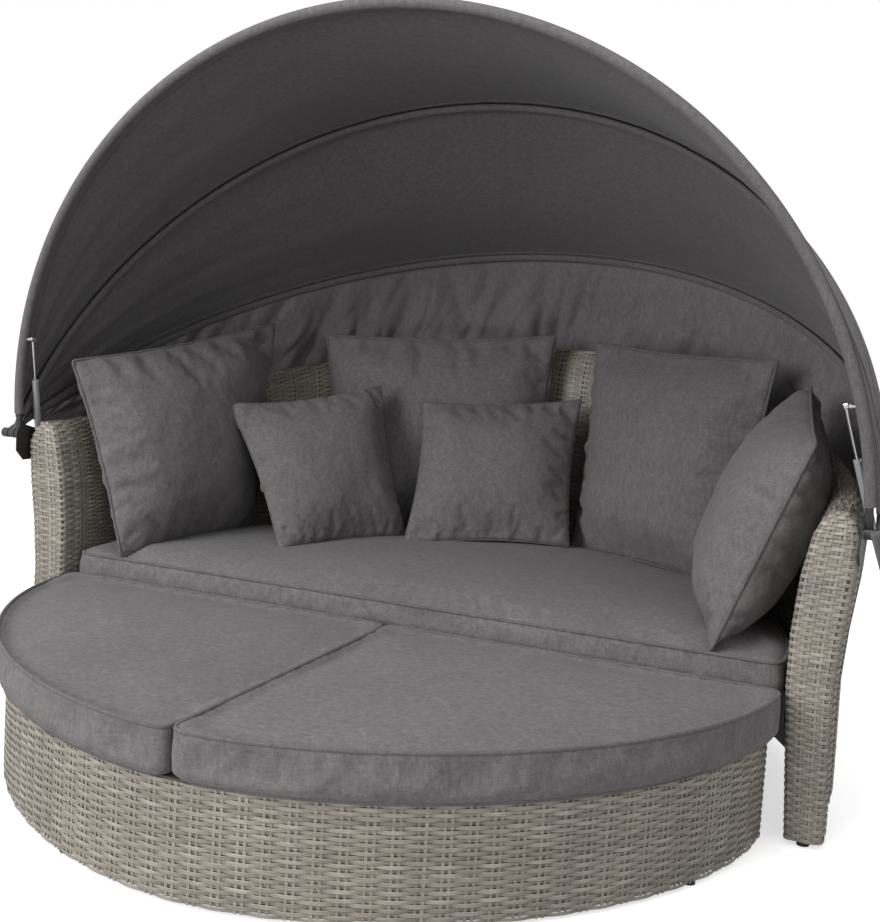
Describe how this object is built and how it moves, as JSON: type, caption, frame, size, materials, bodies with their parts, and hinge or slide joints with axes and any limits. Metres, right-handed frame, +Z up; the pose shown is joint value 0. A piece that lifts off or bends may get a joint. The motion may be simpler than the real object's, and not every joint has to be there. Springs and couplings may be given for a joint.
{
  "type": "outdoor daybed with canopy",
  "caption": "Round woven outdoor daybed with a high back shell, folding cloth canopy on gas struts, loose cushions and a half-round cushioned footstool",
  "frame": {"origin": "middle of the floor rectangle under the daybed with its footstool pushed in", "axes": "+X to the sitter's left as seen from the front right of the picture, +Y towards the back of the sofa, +Z up"},
  "size_m": [2.3516, 2.2332, 1.7995],
  "materials": {
    "wicker": "woven flat resin strands in mixed grey-beige",
    "cushion_cloth": "heathered mid-grey woven polyester",
    "canopy_cloth": "heathered dark grey woven polyester",
    "frame_steel": "powder-coated steel, satin grey-beige",
    "bow_tube": "powder-coated dark grey tube",
    "black_steel": "black powder coat",
    "bright_steel": "bright plated steel",
    "strut_body": "grey lacquered tube",
    "glide_plastic": "black moulded plastic",
    "board": "dark stained deck board"
  },
  "bodies": {
    "sofa": {"shell_weave": "wicker", "arm_front_left": "wicker", "arm_front_right": "wicker", "glide_left_front": "glide_plastic", "glide_left_rear": "glide_plastic", "glide_right_front": "glide_plastic", "glide_right_rear": "glide_plastic", "shell_rim_tube": "frame_steel", "shell_base_tube": "frame_steel", "shell_upright_1": "frame_steel", "shell_upright_2": "frame_steel", "shell_upright_3": "frame_steel", "shell_upright_4": "frame_steel", "rear_leg_left": "wicker", "glide_left_back": "glide_plastic", "rear_leg_right": "wicker", "glide_right_back": "glide_plastic", "seat_deck": "board", "front_rail": "frame_steel", "seat_crossbar_1": "frame_steel", "seat_crossbar_2": "frame_steel", "seat_crossbar_3": "frame_steel", "gusset_left": "black_steel", "gusset_right": "black_steel", "seat_cushion": "cushion_cloth", "cushion_large_left": "cushion_cloth", "cushion_large_back_left": "cushion_cloth", "cushion_large_back_right": "cushion_cloth", "cushion_large_right": "cushion_cloth", "cushion_scatter_left": "cushion_cloth", "cushion_scatter_right": "cushion_cloth", "rear_bow": "bow_tube", "canopy_rear_curtain": "canopy_cloth", "bracket_right": "black_steel", "bracket_left": "black_steel", "pivot_bolt_right": "bright_steel", "pivot_bolt_left": "bright_steel", "lower_stud_right": "bright_steel", "lower_stud_left": "bright_steel"},
    "middle_bow": {"middle_bow": "bow_tube", "canopy_middle_panel": "canopy_cloth"},
    "front_bow": {"front_bow": "bow_tube", "canopy_front_panel": "canopy_cloth", "upper_stud_right": "bright_steel", "upper_stud_left": "bright_steel"},
    "strut_cylinder_left": {"strut_cylinder_left": "strut_body"},
    "strut_cylinder_right": {"strut_cylinder_right": "strut_body"},
    "strut_rod_left": {"strut_rod_left": "bright_steel"},
    "strut_rod_right": {"strut_rod_right": "bright_steel"},
    "footstool": {"footstool_weave": "wicker", "footstool_frame": "frame_steel", "footstool_deck": "board", "footstool_glide_1": "glide_plastic", "footstool_glide_2": "glide_plastic", "footstool_glide_3": "glide_plastic", "footstool_glide_4": "glide_plastic", "footstool_cushion_left": "cushion_cloth", "footstool_cushion_right": "cushion_cloth"}
  },
  "joints": [
    {"name": "middle_bow_fold", "type": "hinge", "parent": "sofa", "child": "middle_bow", "pos_m": [0, -0.21965, 0.703], "axis": [-1, 0, 0], "range_deg": [0, 31.5], "deforming": ["canopy_middle_panel"]},
    {"name": "front_bow_fold", "type": "hinge", "parent": "middle_bow", "child": "front_bow", "pos_m": [0, -0.21965, 0.703], "axis": [-1, 0, 0], "range_deg": [0, 33.9], "deforming": ["canopy_front_panel"]},
    {"name": "strut_swing_left", "type": "hinge", "parent": "sofa", "child": "strut_cylinder_left", "pos_m": [-1.1198, -0.14165, 0.7], "axis": [-0.9428, 0.1424, 0.3013], "range_deg": [0, 65.8]},
    {"name": "strut_slide_left", "type": "slide", "parent": "strut_cylinder_left", "child": "strut_rod_left", "axis": [0.2297, -0.3775, 0.8971], "range_m": [-0.0803, 0]},
    {"name": "strut_swing_right", "type": "hinge", "parent": "sofa", "child": "strut_cylinder_right", "pos_m": [1.1198, -0.14165, 0.7], "axis": [-0.9428, -0.1424, -0.3013], "range_deg": [0, 65.8]},
    {"name": "strut_slide_right", "type": "slide", "parent": "strut_cylinder_right", "child": "strut_rod_right", "axis": [-0.2297, -0.3775, 0.8971], "range_m": [-0.0803, 0]},
    {"name": "footstool_pull", "type": "slide", "parent": "sofa", "child": "footstool", "axis": [0, -1, 0], "range_m": [0, 0.5]}
  ],
  "couplings": [
    {"joint": "front_bow_fold", "follows": "middle_bow_fold", "ratio": 1.0762},
    {"joint": "strut_swing_left", "follows": "middle_bow_fold", "ratio": 2.0881},
    {"joint": "strut_slide_left", "follows": "middle_bow_fold", "m_per_rad": -0.14589},
    {"joint": "strut_swing_right", "follows": "middle_bow_fold", "ratio": 2.0881},
    {"joint": "strut_slide_right", "follows": "middle_bow_fold", "m_per_rad": -0.14589}
  ]
}
